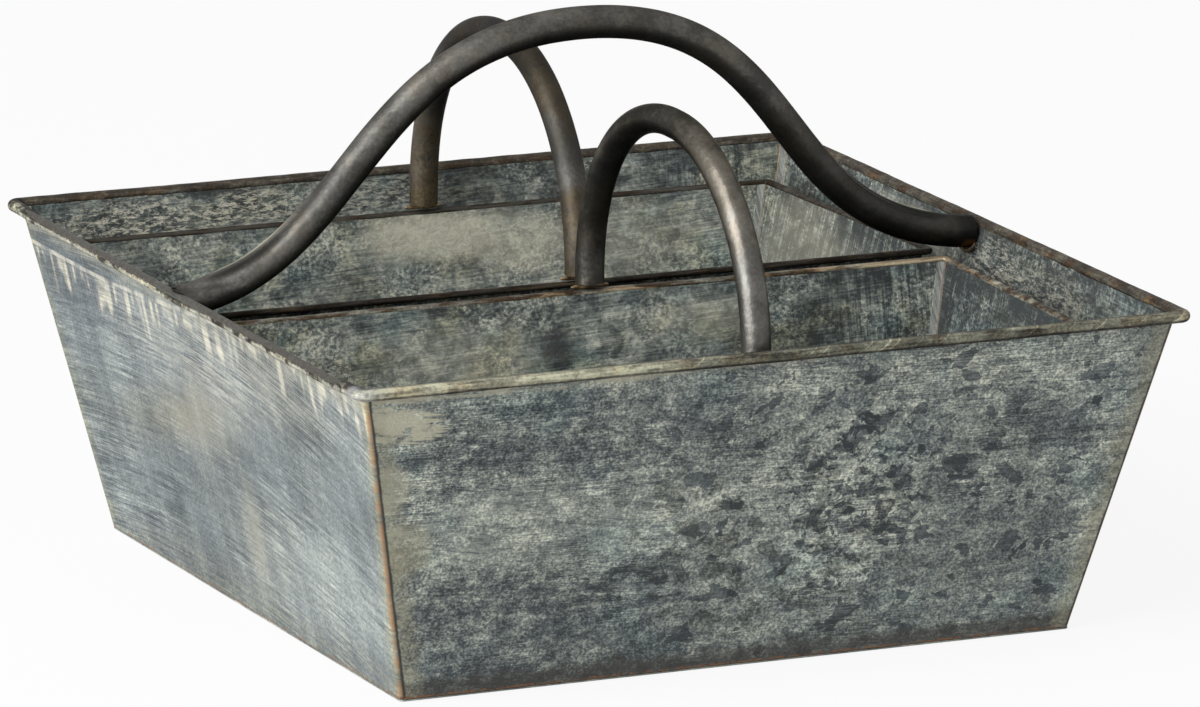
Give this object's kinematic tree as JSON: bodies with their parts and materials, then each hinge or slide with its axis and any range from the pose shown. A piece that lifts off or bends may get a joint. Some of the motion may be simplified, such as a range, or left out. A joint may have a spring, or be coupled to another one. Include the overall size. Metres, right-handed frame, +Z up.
{
  "type": "metal basket",
  "caption": "Square flared metal basket with an arched tube handle and side-by-side lift-out boxes, each with its own hoop handle.",
  "frame": {"origin": "middle of the underside, on the surface that the basket stands on", "axes": "+X along the front to the right, +Y to the back, +Z up"},
  "size_m": [0.3506, 0.3506, 0.2297],
  "materials": {
    "zinc_sheet": "aged zinc-coated sheet, mottled grey-green patina, satin to matt",
    "rolled_rim": "aged rolled sheet edge, grey-brown with rust, satin",
    "rim_wire": "plain steel wire inside the roll, dull",
    "handle_tube": "dark gunmetal steel tube, satin, browned at the bends",
    "weld": "brazed bead, brown and gold, slightly shiny"
  },
  "bodies": {
    "basket": {"basket_front_wall": "zinc_sheet", "basket_back_wall": "zinc_sheet", "basket_left_end_wall": "zinc_sheet", "basket_right_end_wall": "zinc_sheet", "basket_bottom": "zinc_sheet", "basket_rim_roll": "rolled_rim", "basket_rim_wire": "rim_wire", "main_handle_tube": "handle_tube", "main_handle_left_weld": "weld", "main_handle_right_weld": "weld"},
    "front_box": {"front_box_outer_wall": "zinc_sheet", "front_box_middle_wall": "zinc_sheet", "front_box_left_end_wall": "zinc_sheet", "front_box_right_end_wall": "zinc_sheet", "front_box_bottom": "zinc_sheet", "front_box_rim_roll": "rolled_rim", "front_box_rim_wire": "rim_wire", "front_box_handle_tube": "handle_tube", "front_box_outer_weld": "weld", "front_box_middle_weld": "weld"},
    "back_box": {"back_box_outer_wall": "zinc_sheet", "back_box_middle_wall": "zinc_sheet", "back_box_left_end_wall": "zinc_sheet", "back_box_right_end_wall": "zinc_sheet", "back_box_bottom": "zinc_sheet", "back_box_rim_roll": "rolled_rim", "back_box_rim_wire": "rim_wire", "back_box_handle_tube": "handle_tube", "back_box_outer_weld": "weld", "back_box_middle_weld": "weld"}
  },
  "joints": [
    {"name": "front_box_lift", "type": "slide", "parent": "basket", "child": "front_box", "axis": [0, -0.2173, 0.9761], "range_m": [0, 0.16]},
    {"name": "back_box_lift", "type": "slide", "parent": "basket", "child": "back_box", "axis": [0, 0.2173, 0.9761], "range_m": [0, 0.16]}
  ]
}
